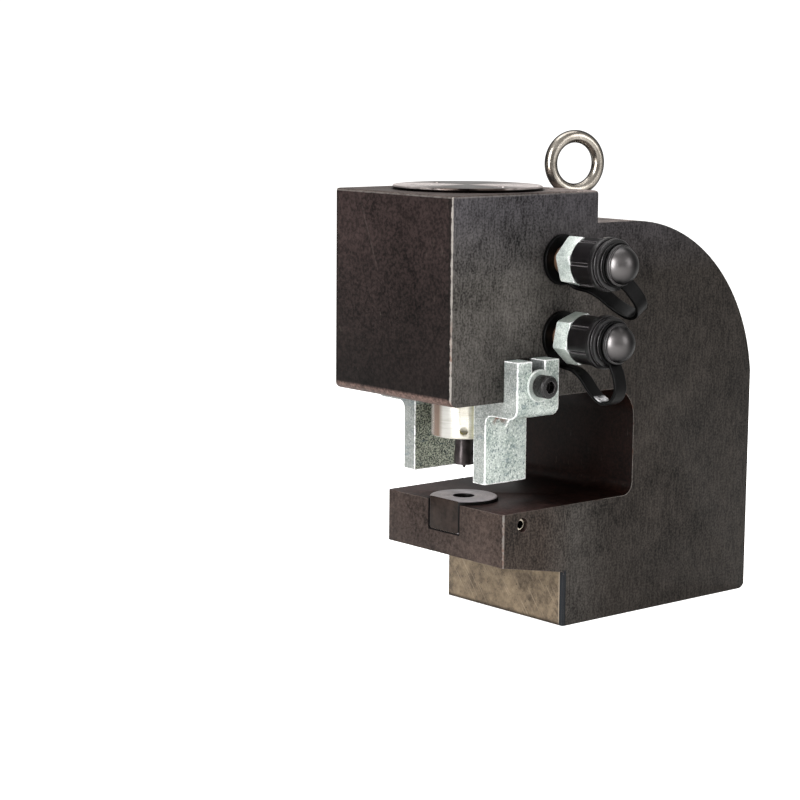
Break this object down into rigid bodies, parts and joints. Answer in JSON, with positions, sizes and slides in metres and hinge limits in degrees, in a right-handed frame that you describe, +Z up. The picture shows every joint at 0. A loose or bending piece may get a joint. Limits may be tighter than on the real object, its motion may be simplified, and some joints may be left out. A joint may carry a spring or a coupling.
{
  "type": "hydraulic hole punch",
  "caption": "C-frame hydraulic hole punch: oil drives a ram, punch and die through plate held by stripper feet; capped oil couplings and a lifting eye.",
  "frame": {"origin": "Centre of the flat underside of the base that stands on the bench.", "axes": "+Z up. -Y is the front, where the jaw, die and head are. +X is the side that carries the two oil couplings."},
  "size_m": [0.2203, 0.3088, 0.3535],
  "materials": {
    "frame_steel": "dark scale left by hardening, with fine grain and worn bright edges",
    "plug_steel": "turned, browned",
    "ram_steel": "ground",
    "tool_steel": "black oxide",
    "die_steel": "ground top, dark sides",
    "nut_steel": "bright zinc, satin",
    "screw_brass": "dull",
    "screw_black": "black oxide",
    "stripper_casting": "zinc plated rough casting",
    "washer_zinc": "zinc plated",
    "eye_steel": "polished",
    "coupling_zinc": "zinc plated, machined",
    "bush_bronze": "machined bronze",
    "guide_plastic": "moulded",
    "seal_rubber": "moulded",
    "spring_steel": "drawn wire",
    "cap_black": "black anodised, glossy",
    "strap_rubber": "moulded"
  },
  "bodies": {
    "body_frame": {"frame": "frame_steel", "cylinder_plug": "plug_steel", "plug_o_ring": "seal_rubber", "gland_bush": "bush_bronze", "gland_o_ring": "seal_rubber", "rod_seal": "seal_rubber", "rod_wiper": "seal_rubber", "die": "die_steel", "die_lock_screw": "screw_brass", "stripper_washers": "washer_zinc", "stripper_screws": "screw_black", "lifting_eye": "eye_steel", "coupling_base_upper": "coupling_zinc", "coupling_base_lower": "coupling_zinc", "coupling_nose_upper": "coupling_zinc", "coupling_nose_lower": "coupling_zinc", "valve_guide_upper": "bush_bronze", "valve_guide_lower": "bush_bronze", "valve_spring_upper": "spring_steel", "valve_spring_lower": "spring_steel", "cap_strap_upper": "strap_rubber", "cap_strap_lower": "strap_rubber"},
    "body_ram": {"ram": "ram_steel", "piston_seal": "seal_rubber", "piston_guide_ring": "guide_plastic", "punch_nut": "nut_steel", "punch": "tool_steel"},
    "body_stripper_right": {"stripper_right": "stripper_casting"},
    "body_stripper_left": {"stripper_left": "stripper_casting"},
    "body_cap_upper": {"dust_cap_upper": "cap_black"},
    "body_cap_lower": {"dust_cap_lower": "cap_black"},
    "body_valve_upper": {"valve_upper": "ram_steel", "valve_seal_upper": "seal_rubber"},
    "body_valve_lower": {"valve_lower": "ram_steel", "valve_seal_lower": "seal_rubber"}
  },
  "joints": [
    {"name": "ram_slide", "type": "slide", "parent": "body_frame", "child": "body_ram", "axis": [0, 0, -1], "range_m": [0, 0.027]},
    {"name": "stripper_right_slide", "type": "slide", "parent": "body_frame", "child": "body_stripper_right", "axis": [0, 0, -1], "range_m": [0, 0.015]},
    {"name": "stripper_left_slide", "type": "slide", "parent": "body_frame", "child": "body_stripper_left", "axis": [0, 0, -1], "range_m": [0, 0.015]},
    {"name": "cap_pull_upper", "type": "slide", "parent": "body_frame", "child": "body_cap_upper", "axis": [1, 0, 0], "range_m": [0, 0.032], "deforming": ["cap_strap_upper"]},
    {"name": "cap_pull_lower", "type": "slide", "parent": "body_frame", "child": "body_cap_lower", "axis": [1, 0, 0], "range_m": [0, 0.032], "deforming": ["cap_strap_lower"]},
    {"name": "valve_press_upper", "type": "slide", "parent": "body_frame", "child": "body_valve_upper", "axis": [-1, 0, 0], "range_m": [0, 0.004], "stiffness_N_per_m": 1500, "springref_m": -0.002, "deforming": ["valve_spring_upper"]},
    {"name": "valve_press_lower", "type": "slide", "parent": "body_frame", "child": "body_valve_lower", "axis": [-1, 0, 0], "range_m": [0, 0.004], "stiffness_N_per_m": 1500, "springref_m": -0.002, "deforming": ["valve_spring_lower"]}
  ]
}
